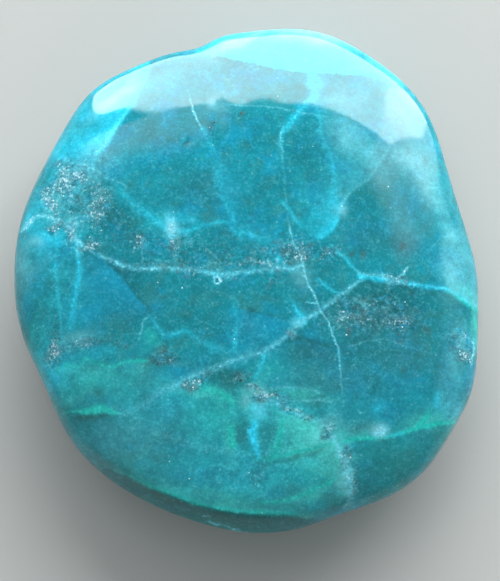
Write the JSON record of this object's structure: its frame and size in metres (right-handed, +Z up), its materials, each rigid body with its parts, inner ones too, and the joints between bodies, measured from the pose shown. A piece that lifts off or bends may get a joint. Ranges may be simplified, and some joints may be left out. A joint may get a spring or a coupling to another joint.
{
  "type": "polished chrysocolla stone",
  "caption": "Flattish tumbled and polished palm stone of translucent blue-green chrysocolla, which lies on a flat worn on its underside.",
  "frame": {"origin": "middle of the bounding box, at the flat face that the stone lies on", "axes": "+Y along the stone's longest side, away from its crisp edge; +X to the right; +Z up, its shortest side"},
  "size_m": [0.0522, 0.0578, 0.0156],
  "materials": {
    "stone": "polished, translucent blue-green with pale veins and green patches"
  },
  "bodies": {
    "root": {"stone": "stone"}
  },
  "joints": []
}
